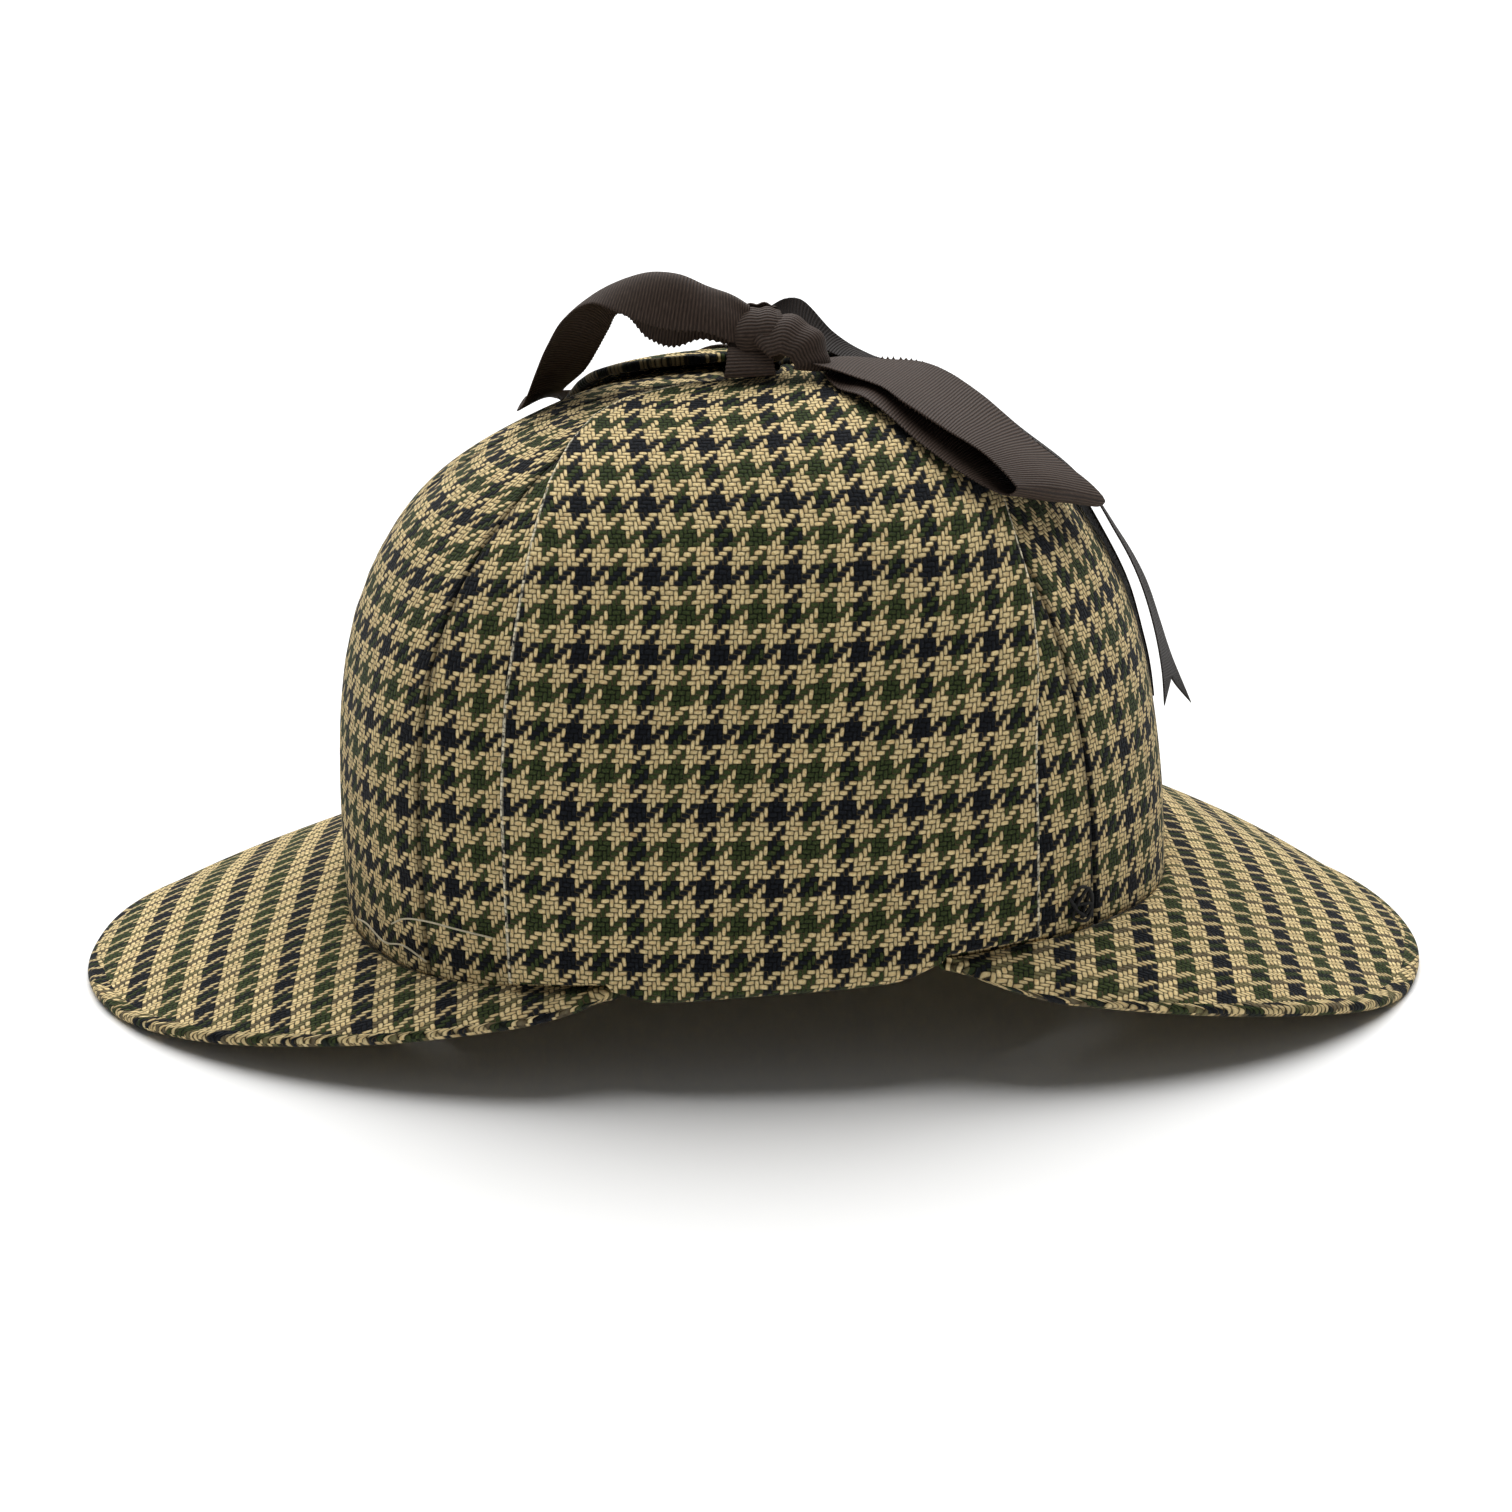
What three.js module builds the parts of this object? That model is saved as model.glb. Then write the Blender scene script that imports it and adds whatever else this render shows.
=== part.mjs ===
// Two-peaked cloth cap (deerstalker) with its ear flaps folded up and tied over the crown.
// Millimetres, +Z up. The cap is first built about its own rim, with the front peak toward -X
// and the wearer's left side toward -Y. At the end it is tipped until both peaks rest on Z = 0.
import * as THREE from "three";

const rad = THREE.MathUtils.degToRad;
const lerp = THREE.MathUtils.lerp;

// Driving sizes
const crown = {
  halfLength: 102.5, halfWidth: 83.7, height: 120.4, planPower: 2.52, frontPower: 2.77, backPower: 2.61,
};
const cloth = { gore: 1.8, flap: 2.2, peak: 3.4, ribbon: 1.0, seamGap: 0.34 };
const goreCount = 8;
const frontSag = { depth: 4.2, middle: -61, spread: 27 }; // the crown's front shoulder droops a little
const rimWave = { second: -1.5, third: -0.9 }; // the rim's gentle rise and fall around the head
const rest = { tiltDegrees: 3.2, rimHeight: 27.6, facetSink: 0.45, centreX: -0.53 };
const flapLift = { crownGap: 0.65, fold: 1.3, farTip: 0.3 };

// Where each peak leaves the crown (degrees from its middle) and the outer edge that it reaches.
const peaks = {
  front_peak: {
    side: -1, reach: 169.7, broadestX: 17.6, halfBreadth: 88.0, rimDegrees: 76, edgeDegrees: 82, endZ: 0.4,
  },
  back_peak: {
    side: 1, reach: 167.8, broadestX: 46, halfBreadth: 86.4, rimDegrees: 73, edgeDegrees: 87, endZ: -5.6,
  },
};
const peakFlatDegrees = 25; // the outer edge lies on the surface within this much of its middle
const peakEndStart = 0.93; // past this share of its sweep a peak's end rounds in to the rim

// Ear flap outline: height up the crown as an angle, then the edges toward the front and back.
const flapRows = [
  [-11, -57, 60], [0, -57.5, 61.5], [15, -56, 62.5], [26, -53.7, 64], [36, -50.3, 63.5], [48, -46, 60],
  [60, -41, 50], [68, -36.5, 42], [75, -31, 33], [80, -24, 26], [84, -13, 18.5], [86, -5, 13.5],
];
const flapTopDegrees = 86;
const foldRadius = 2.7; // at the flap's lower edge, to the middle of the cloth
const flapRootShare = 0.36; // the middle share of its width that goes on under the rim

// Free ribbon: each row has the near edge, the crest between where it isn't flat, and the far edge.
const ribbons = {
  bow_loop_front: [
    [-1.8, -15.0, 132.4, -1.6, -8.0, 141.2, -1.8, 1.0, 128.6],
    [-4.4, -14.0, 134.4, -3.2, -6.0, 143.5, -4.9, 3.0, 129.7],
    [-12.3, -13.0, 135.3, -9.1, -5.0, 146.3, -12.2, 4.0, 128.0],
    [-18.5, -11.0, 137.0, -15.0, -2.0, 146.8, -18.1, 6.0, 130.2],
    [-24.4, -8.0, 139.3, -20.7, 1.0, 145.4, -22.3, 9.0, 134.8],
    [-30.9, -4.0, 141.1, -27.2, 6.0, 142.3, -25.0, 13.0, 135.2],
    [-37.6, 0.0, 136.6, -33.1, 9.0, 136.7, -27.4, 17.0, 130.8],
    [-42.1, 4.0, 130.0, -38.1, 12.0, 129.4, -30.8, 21.0, 125.3],
    [-45.6, 8.0, 122.9, -41.8, 16.0, 122.0, -34.9, 25.0, 119.4],
    [-48.0, 12.0, 116.8, -44.7, 20.0, 116.2, -39.7, 29.0, 115.0],
    [-49.8, 19.0, 113.4, -46.6, 28.0, 112.6, -42.6, 38.0, 110.8],
    [-48.5, 29.0, 114.4, -45.8, 38.5, 112.2, -43.0, 48.0, 108.4],
    [-43.0, 43.0, 111.2, -40.0, 51.5, 107.2, -37.0, 60.0, 101.1],
    [-34.0, 52.0, 109.2, -30.5, 59.5, 104.0, -27.0, 67.0, 96.9],
    [-24.0, 54.0, 110.6, -20.0, 61.5, 104.6, -16.0, 69.0, 96.5],
    [-12.0, 48.0, 115.7, -8.0, 55.0, 111.1, -4.0, 62.0, 105.0],
    [-3.0, 33.0, 122.1, 1.5, 39.5, 119.8, 6.0, 46.0, 116.7],
    [-1.0, 24.0, 124.2, 3.0, 28.0, 123.4, 8.0, 33.0, 121.8],
  ],
  bow_loop_back: [
    [21.8, -19.4, 126.0, 22.6, -12.8, 125.4, 23.4, -5.6, 124.6],
    [25.9, -22.0, 124.8, 28.2, -12.0, 124.4, 32.0, -2.0, 123.8],
    [34.8, -28.0, 122.2, 39.5, -16.0, 122.2, 45.5, -3.0, 122.0],
    [39.5, -35.0, 119.2, 45.2, -22.0, 119.9, 52.2, -7.0, 120.4],
    [48.1, -43.0, 114.2, 54.1, -30.0, 114.9, 60.7, -14.0, 114.8],
    [56.3, -48.0, 109.2, 63.6, -36.0, 107.8, 71.4, -21.0, 105.3],
    [61.9, -51.0, 103.6, 72.4, -41.0, 100.0, 84.6, -29.0, 94.3],
    [62.9, -51.7, 101.9, 73.6, -42.0, 97.6, 86.2, -30.0, 91.8],
    [61.1, -50.6, 100.2, 71.5, -40.6, 95.9, 84.4, -28.6, 90.6],
    [52.1, -46.0, 108.0, 61.6, -33.0, 104.6, 70.6, -18.0, 103.0],
    [43.8, -40.0, 114.4, 51.0, -27.0, 113.2, 58.7, -11.0, 112.9],
    [37.3, -33.5, 118.4, 43.6, -21.0, 117.7, 51.1, -6.0, 118.0],
    [31.7, -28.0, 121.2, 37.2, -16.0, 120.2, 43.2, -2.0, 120.0],
    [26.7, -22.0, 122.4, 29.3, -12.0, 122.5, 33.1, 0.0, 121.9],
    [22.8, -17.4, 123.9, 24.2, -10.0, 123.4, 25.8, -2.0, 122.9],
  ],
  ribbon_tail_front: [
    [14.0, 4.0, 126.2, 13.8, 9.5, 126.4], [22.0, 3.0, 126.1, 22.0, 9.5, 126.6],
    [34.0, 1.0, 120.0, 36.0, 10.5, 120.2], [52.0, 2.0, 115.0, 55.0, 15.5, 114.2],
    [70.0, -7.0, 104.0, 73.0, 10.0, 101.0], [84.0, -16.5, 92.6, 87.2, 6.0, 87.6],
    [91.2, -18.0, 80.6, 95.8, 5.5, 74.8], [96.4, -16.8, 68.6, 101.6, 6.4, 62.8],
    [100.4, -15.0, 55.8, 106.2, 8.0, 50.2], [102.6, -13.6, 44.0, 110.0, 9.0, 38.4],
    [103.2, -13.0, 34.0, 114.6, 9.0, 26.4],
  ],
  ribbon_tail_back: [
    [8.9, 1.0, 128.6, 9.7, 6.0, 131.7, 11.0, 9.0, 135.0],
    [14.2, 1.0, 129.4, 14.9, 6.0, 133.1, 15.7, 9.0, 137.2],
    [17.8, 1.0, 129.2, 18.7, 6.0, 132.8, 19.6, 10.0, 136.6],
    [22.7, 2.5, 129.0, 25.0, 8.0, 129.4, 27.3, 12.0, 129.0],
    [31.2, 5.0, 124.6, 33.6, 12.0, 124.0, 36.1, 19.0, 122.2],
    [46.0, 17.6, 118.4, 48.0, 26.3, 116.5, 50.0, 35.0, 113.4],
    [60.0, 15.4, 110.6, 62.0, 25.7, 107.3, 64.0, 36.0, 102.8],
    [76.0, 10.0, 97.6, 77.6, 21.5, 93.2, 79.0, 33.0, 87.6],
    [88.6, 8.6, 81.4, 89.8, 19.8, 76.6, 90.6, 31.0, 71.0],
    [97.4, 7.8, 63.0, 97.8, 18.5, 58.8, 97.6, 29.2, 54.0],
    [102.4, 7.2, 45.0, 102.4, 17.3, 41.8, 101.8, 27.4, 38.0],
    [104.4, 6.8, 30.0, 104.5, 16.0, 27.2, 104.0, 25.2, 24.0],
  ],
  left_ribbon_stub: [
    [-0.6, -19.6, 124.3, 11.6, -19.6, 124.3],
    [0.0, -18.6, 126.4, 11.4, -18.6, 126.4],
    [1.0, -17.0, 128.6, 11.2, -17.0, 128.6],
  ],
  right_ribbon_stub: [
    [13.2, 19.0, 124.8, 2.6, 19.0, 124.8],
    [12.8, 12.0, 125.9, 2.2, 12.0, 125.9],
    [12.8, 3.0, 125.6, 2.2, 3.0, 125.6],
  ],
};
const knot = { x: 10, y: -8, z: 131.6, halfX: 10.5, halfY: 7.6, halfZ: 5.8 };

const signedPower = (value, power) => Math.sign(value) * Math.abs(value) ** power;

function rimZ(around) {
  return rimWave.second * Math.cos(2 * around) + rimWave.third * Math.cos(3 * around);
}

// Share of the plan size that is left at a share of the height, blended from front to back.
function planShare(around, height) {
  const back = (1 + Math.cos(around)) / 2;
  const at = (power) => Math.max(1 - height ** power, 0) ** (1 / power);
  return lerp(at(crown.frontPower), at(crown.backPower), back);
}

function heightShare(up) {
  return Math.sin(up) ** (4 / (crown.frontPower + crown.backPower));
}

// A point on the crown's outer face. around runs from the back (+X) to the far side (+Y), and up
// from 0 at the rim to 90 degrees at the top. A negative up goes on straight down.
function crownPoint(around, up) {
  const height = up > 0 ? heightShare(up) : 0;
  const share = planShare(around, height);
  const power = 2 / crown.planPower;
  const x = crown.halfLength * share * signedPower(Math.cos(around), power);
  const sag = frontSag.depth * height ** 3 * Math.exp(-(((x - frontSag.middle) / frontSag.spread) ** 2));
  return new THREE.Vector3(
    x,
    crown.halfWidth * share * signedPower(Math.sin(around), power),
    height * crown.height - sag + rimZ(around) * (1 - height) ** 2 + Math.min(up, 0) * 60,
  );
}

function crownNormal(around, up) {
  const step = 1e-3;
  const low = Math.max(up, 0.02);
  const across = crownPoint(around + step, low).sub(crownPoint(around - step, low));
  const along = crownPoint(around, low + step).sub(crownPoint(around, low - step));
  return across.cross(along).normalize();
}

function crownOffset(around, up, offset) {
  return crownPoint(around, up).addScaledVector(crownNormal(around, up), offset);
}

// The angle around the crown, on the given side (-1 near, 1 far), of the point at x and up.
function aroundAt(x, up, side) {
  let around = side * Math.PI / 2;
  for (let i = 0; i < 8; i++) {
    const share = planShare(around, up > 0 ? heightShare(up) : 0);
    const straight = Math.min(Math.max(x / (crown.halfLength * share), -1), 1);
    const cosine = signedPower(straight, crown.planPower / 2);
    around = side * Math.acos(cosine);
  }
  return around;
}

// Interpolates a table whose first column rises.
function lookUp(rows, key, column) {
  let i = 1;
  while (i < rows.length - 1 && rows[i][0] < key) i++;
  const share = (key - rows[i - 1][0]) / (rows[i][0] - rows[i - 1][0]);
  return lerp(rows[i - 1][column], rows[i][column], Math.min(Math.max(share, 0), 1));
}

// Tips the finished cap onto both peaks.
function settle(point) {
  const turned = point.clone().applyAxisAngle(new THREE.Vector3(0, 1, 0), -rad(rest.tiltDegrees));
  turned.x += rest.centreX;
  turned.z = Math.max(turned.z + rest.rimHeight, 0);
  return turned;
}

// Closed body through rings with equal point counts. Ring point i pairs with point n - 1 - i,
// so each ring is an out-and-back run round a sheet, and both ends close the same way.
function loft(name, rings) {
  const count = rings[0].length;
  const positions = rings.flat().flatMap((point) => settle(point).toArray());
  const faces = [];
  const quad = (a, b, c, d) => faces.push([a, b, c], [a, c, d]);
  for (let r = 0; r + 1 < rings.length; r++) {
    for (let i = 0; i < count; i++) {
      const next = (i + 1) % count;
      quad(r * count + i, r * count + next, (r + 1) * count + next, (r + 1) * count + i);
    }
  }
  const last = (rings.length - 1) * count;
  for (let i = 0; i + 1 < count / 2; i++) {
    const other = count - 1 - i;
    quad(i, other, other - 1, i + 1);
    quad(last + i, last + i + 1, last + other - 1, last + other);
  }
  return body(name, positions, faces);
}

function body(name, positions, faces) {
  const corner = (i) => new THREE.Vector3(...positions.slice(3 * i, 3 * i + 3));
  const volume = faces.reduce((sum, [a, b, c]) => sum + corner(a).dot(corner(b).cross(corner(c))), 0);
  const outward = volume > 0 ? faces : faces.map(([a, b, c]) => [a, c, b]);
  const geometry = new THREE.BufferGeometry();
  geometry.setAttribute("position", new THREE.Float32BufferAttribute(positions, 3));
  geometry.setIndex(outward.flat());
  geometry.computeVertexNormals();
  const mesh = new THREE.Mesh(geometry);
  mesh.name = name;
  return mesh;
}

const spread = (count, from, to) => Array.from({ length: count }, (_, i) => lerp(from, to, i / (count - 1)));

// One wedge of the crown, from the rim's underside to near the top button point.
function gore(index) {
  const pitch = 2 * Math.PI / goreCount;
  const ups = [-0.027, 0, ...spread(13, 8, 87.6).map(rad)];
  const edge = (side, up) => {
    const around = pitch * (index + (side > 0 ? 1 : 0));
    const radius = Math.hypot(...crownPoint(around, up).toArray().slice(0, 2));
    return around - side * cloth.seamGap / 2 / radius;
  };
  const rings = spread(6, 0, 1).map((share) => {
    const at = (up) => lerp(edge(-1, up), edge(1, up), share);
    const outer = ups.map((up) => crownOffset(at(up), up, 0));
    const inner = ups.map((up) => crownOffset(at(up), up, -cloth.gore));
    return [...outer, ...inner.reverse()];
  });
  return loft(`crown_gore_${index + 1}`, rings);
}

// Height of a peak's edge, at mid thickness, which lies on the resting surface near its middle.
function peakEdge(size, angle) {
  const power = 2 / 2.15;
  const past = (size.reach - size.broadestX) * signedPower(Math.cos(angle), power);
  const x = size.side * (size.broadestX + past);
  const y = size.halfBreadth * signedPower(Math.sin(angle), power);
  const surface = (-rest.rimHeight - x * Math.sin(rad(rest.tiltDegrees))) / Math.cos(rad(rest.tiltDegrees));
  const turned = Math.max(Math.abs(angle) - rad(peakFlatDegrees), 0) / rad(90 - peakFlatDegrees);
  const low = surface + cloth.peak / 2 - rest.facetSink;
  return new THREE.Vector3(x, y, lerp(low, size.endZ, turned ** 1.2));
}

function peakRing(size, sweep) {
  const around = rad(size.rimDegrees) * sweep;
  const rimAngle = size.side > 0 ? around : Math.PI - around;
  const inner = crownOffset(rimAngle, 0, cloth.seamGap);
  const closing = Math.max(Math.abs(sweep) - peakEndStart, 0) / (1 - peakEndStart);
  const middleEdge = peakEdge(size, rad(size.edgeDegrees) * sweep);
  const edge = inner.clone().lerp(middleEdge, lerp(0.3, 1, Math.sqrt(1 - closing ** 2)));
  const out = edge.clone().sub(inner).normalize();
  const upward = new THREE.Vector3(0, 0, 1);
  const normal = upward.clone().addScaledVector(out, -out.z).normalize();
  const half = cloth.peak / 2;
  const top = [], under = [];
  for (const share of [0, 0.12, 0.3, 0.5, 0.7, 0.86, 1]) {
    const lean = upward.clone().lerp(normal, Math.min(share * 6, 1)).normalize();
    const lift = 4 * share * (1 - share) - half * (1 - share);
    const middle = inner.clone().lerp(edge, share).addScaledVector(upward, lift);
    top.push(middle.clone().addScaledVector(lean, half));
    under.push(middle.clone().addScaledVector(lean, -half));
  }
  const round = [55, 20, -15, -48].map((degrees) => edge.clone()
    .addScaledVector(normal, half * Math.sin(rad(degrees)))
    .addScaledVector(out, half * Math.cos(rad(degrees))));
  return [...top, ...round, ...under.reverse()];
}

function peak(name, size) {
  const rings = spread(31, -1, 1).map((sweep) => peakRing(size, sweep));
  return loft(name, rings);
}

// The flap's middle surface: up < 0 rounds the fold and passes under the rim.
function flapMiddle(share, row, side) {
  const front = lookUp(flapRows, row, 1), back = lookUp(flapRows, row, 2);
  const x = lerp(front, back, share);
  const up = rad(Math.max(row, 0));
  const around = aroundAt(x, up, side);
  const snug = flapLift.crownGap + cloth.flap / 2;
  const tip = side > 0 ? flapLift.farTip * THREE.MathUtils.smoothstep(row, 60, 80) : 0;
  if (row >= 0) return crownOffset(around, up, snug + tip + flapLift.fold * Math.exp(-row / 6));
  const turn = rad(row * 9); // at -10 the cloth lies flat under the rim
  const point = crownOffset(around, 0, snug + flapLift.fold - foldRadius * (1 - Math.cos(turn)));
  point.z += foldRadius * Math.sin(turn) - (1 - Math.cos(turn)) * 0.6;
  return point;
}

function flap(name, side) {
  const half = [0, 0.1, 0.18, 0.215, 0.25, 0.285, 0.32, 0.41];
  const shares = [...half, 0.5, ...half.map((share) => 1 - share).reverse()];
  const start = (share) => lerp(-11, 0.5,
    THREE.MathUtils.smoothstep(Math.abs(share - 0.5) * 2, flapRootShare, flapRootShare + 0.28));
  const rows = [...spread(7, 0, 0.25), ...spread(13, 0.31, 1)];
  const middle = (share, along) => flapMiddle(share, along < 0.25
    ? lerp(start(share), 6, along / 0.25)
    : lerp(6, flapTopDegrees, (along - 0.25) / 0.75), side);
  const rings = rows.map((along) => {
    const outer = [], inner = [];
    for (const share of shares) {
      const here = middle(share, along);
      const across = middle(Math.min(share + 0.01, 1), along).sub(middle(Math.max(share - 0.01, 0), along));
      const onward = middle(share, Math.min(along + 0.004, 1)).sub(middle(share, Math.max(along - 0.004, 0)));
      const normal = across.cross(onward).normalize().multiplyScalar(-side);
      outer.push(here.clone().addScaledVector(normal, cloth.flap / 2));
      inner.push(here.clone().addScaledVector(normal, -cloth.flap / 2));
    }
    return [...outer, ...inner.reverse()];
  });
  return loft(name, rings);
}

// A length of ribbon through its smooth edge and crest lines.
function ribbon(name, rows) {
  const flat = rows[0].length === 6;
  const at = (row, first) => new THREE.Vector3(...row.slice(first, first + 3));
  const line = (pick) => new THREE.CatmullRomCurve3(rows.map(pick), false, "centripetal");
  const near = line((row) => at(row, 0)), far = line((row) => at(row, flat ? 3 : 6));
  const crest = line((row) => (flat ? at(row, 0).lerp(at(row, 3), 0.5) : at(row, 3)));
  const steps = rows.length > 3 ? Math.round(rows.length * 1.6) : 4;
  const rings = spread(steps, 0, 1).map((share) => {
    const a = near.getPoint(share), b = crest.getPoint(share), c = far.getPoint(share);
    const tangent = crest.getTangent(share);
    const point = (s) => a.clone().multiplyScalar((1 - s) * (1 - 2 * s))
      .addScaledVector(b, 4 * s * (1 - s)).addScaledVector(c, s * (2 * s - 1));
    const over = [], under = [];
    for (const across of spread(flat ? 3 : 5, 0, 1)) {
      const sideways = point(Math.min(across + 0.1, 1)).sub(point(Math.max(across - 0.1, 0)));
      const normal = tangent.clone().cross(sideways).normalize().multiplyScalar(cloth.ribbon / 2);
      over.push(point(across).add(normal));
      under.unshift(point(across).sub(normal));
    }
    return [...over, ...under];
  });
  return loft(name, rings);
}

function bowKnot() {
  const rows = spread(11, -90, 90), columns = 16;
  const positions = [], faces = [];
  rows.forEach((latitude) => {
    for (let i = 0; i < columns; i++) {
      const angle = 2 * Math.PI * i / columns, flat = Math.abs(latitude) === 90 ? 0 : Math.cos(rad(latitude));
      positions.push(...settle(new THREE.Vector3(
        knot.x + knot.halfX * Math.sin(rad(latitude)),
        knot.y + knot.halfY * flat * Math.cos(angle),
        knot.z + knot.halfZ * flat * Math.sin(angle),
      )).toArray());
    }
  });
  for (let r = 0; r + 1 < rows.length; r++) {
    for (let i = 0; i < columns; i++) {
      const next = (i + 1) % columns;
      const [low, high] = [r * columns, (r + 1) * columns];
      const [a, b, c, d] = [low + i, low + next, high + next, high + i];
      if (r > 0) faces.push([a, b, c]);
      if (r + 2 < rows.length) faces.push([a, c, d]);
    }
  }
  return body("bow_knot", positions, faces);
}

const group = new THREE.Group();
for (let i = 0; i < goreCount; i++) group.add(gore(i));
for (const [name, size] of Object.entries(peaks)) group.add(peak(name, size));
group.add(flap("left_ear_flap", -1), flap("right_ear_flap", 1));
for (const [name, rows] of Object.entries(ribbons)) group.add(ribbon(name, rows));
group.add(bowKnot());

export default group;
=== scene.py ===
"""Looks of the deerstalker hat: tweed panels, peaks and ear flaps, and the ribbon bow on top.

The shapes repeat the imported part's own formulas on a finer grid, though the bow's ribbon lies a
little off it in places. They are worked out in millimetres about the hat's rim, with the front
toward -X and the wearer's left toward -Y, and settle() tips them onto the floor in metres.
"""

import math

import bpy
import numpy as np
from mathutils import Matrix, Vector


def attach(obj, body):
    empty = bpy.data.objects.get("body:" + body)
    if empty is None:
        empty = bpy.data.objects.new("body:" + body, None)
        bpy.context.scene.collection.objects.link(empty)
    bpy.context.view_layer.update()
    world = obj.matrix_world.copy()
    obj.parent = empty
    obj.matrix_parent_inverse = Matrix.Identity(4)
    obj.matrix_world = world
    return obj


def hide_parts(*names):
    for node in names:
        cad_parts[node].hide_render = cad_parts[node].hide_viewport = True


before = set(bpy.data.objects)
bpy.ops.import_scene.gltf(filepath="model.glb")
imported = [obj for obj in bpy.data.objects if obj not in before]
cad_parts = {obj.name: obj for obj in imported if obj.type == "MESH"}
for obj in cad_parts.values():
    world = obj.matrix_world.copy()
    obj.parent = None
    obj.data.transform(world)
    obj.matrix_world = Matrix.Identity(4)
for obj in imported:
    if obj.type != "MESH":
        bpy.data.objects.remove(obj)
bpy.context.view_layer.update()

# ---------------------------------------------------------------- driving sizes, millimetres

HALF_LENGTH, HALF_WIDTH, HEIGHT = 102.5, 83.7, 120.4  # crown
PLAN_POWER, FRONT_POWER, BACK_POWER = 2.52, 2.77, 2.61
RIM_SECOND, RIM_THIRD = -1.5, -0.9
SAG_DEPTH, SAG_MIDDLE, SAG_SPREAD = 4.2, -61, 27  # the crown's front shoulder droops a little
GORES, GORE_CLOTH = 8, 1.8
PUCKER_PLACE, PUCKER_WIDTH, PUCKER_PITCH, PUCKER_HEIGHT = 4, 3.5, 5.5, 0.12  # beside the seams
TILT, RIM_HEIGHT, CENTRE_X, FACET_SINK = math.radians(3.2), 27.6, -0.53, 0.45

PEAK_CLOTH, PEAK_POWER, PEAK_RISE = 3.4, 2.15, 1  # thickness, outline's squareness, swell upwards
PEAK_FLAT, PEAK_END = 25, 0.93  # degrees of its edge on the floor, share where its ends round in
PEAK_SEAM, PEAK_WRAP = 0.55, 0.93  # fullness left at its seam, share where cloth wraps to the underside
PEAKS = {
    "front_peak": dict(side=-1, reach=169.7, broadest=17.6, half=88.0, rim=76, edge=82, end_z=0.4),
    "back_peak": dict(side=1, reach=167.8, broadest=46, half=86.4, rim=73, edge=87, end_z=-5.6),
}
PEAK_WEAVE = np.array([1 / 1.32, 1.5])

FLAP_CLOTH, CROWN_GAP, FOLD_LIFT, FAR_TIP, FOLD_RADIUS = 2.2, 0.65, 1.3, 1.0, 2.7
FLAP_LOW, FLAP_TOP, FLAP_ROOT = -11, 86, 0.36
FLAP_FOLD, FLAP_CLEAR = 0.12, 6  # this share of its rows is spent on the fold, up to this angle
FLAP_TURN, FLAP_SHIFT = -3.4, (-8.6, 4.2)  # the weave's lean and place on the flap
FLAP_ROWS = np.array([  # degrees up the crown, then the front and back edges
    [-11, -57, 60], [0, -57.5, 61.5], [15, -56, 62.5], [26, -53.7, 64], [36, -50.3, 63.5],
    [48, -46, 60], [60, -41, 50], [68, -36.5, 42], [75, -31, 33], [80, -24, 26],
    [84, -13, 18.5], [86, -5, 13.5],
])

WARP_PITCH, WEFT_PITCH = 0.958, 1.08  # tweed threads
RIB_PITCH, RIBBON_CLOTH, TOOTH_PITCH, FORK = 0.8, 0.45, 1.3, 8.0  # ribbon

# How each grid is spaced: length, step and rounded edge along the piece, then the same across it.
GORE_GRID = (150, 2.2, 1.0), (72, 1.8, 1.1)
PEAK_GRID = (250, 1.7, PEAK_CLOTH / 2), (66, 1.5, PEAK_CLOTH / 2)
FLAP_GRID = (175, 1.2, FLAP_CLOTH / 2), (119, 1.0, FLAP_CLOTH / 2)
RIBBON_STEPS, RIBBON_ROUND = (0.4, 1.2), 0.5

KNOT_CLOTH, WRAP_WIDTH, CURL_WIDTH = 1.0, 11, 20
WRAP_CENTRE, WRAP_HALF = np.array([8.6, -8.5, 132.4]), np.array([4.2, 8.2, 6.6])
CURL_CENTRE, CURL_RADIUS, CURL_DEPTH = np.array([12.6, -11.4, 126.0]), 11.6, 7.8

CAMERA_TURN = (-2.16, 19.87, -0.10)  # degrees round, down and over
CAMERA_PLACE, CAMERA_LENS = (-0.02262, -0.5996, 0.26823), 59.99
SUN_SOURCE, SUN_STRENGTH, SUN_SPREAD, SKY_STRENGTH = (0.02, 0.5, 1.0), 5.0, 75, 0.15

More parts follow.
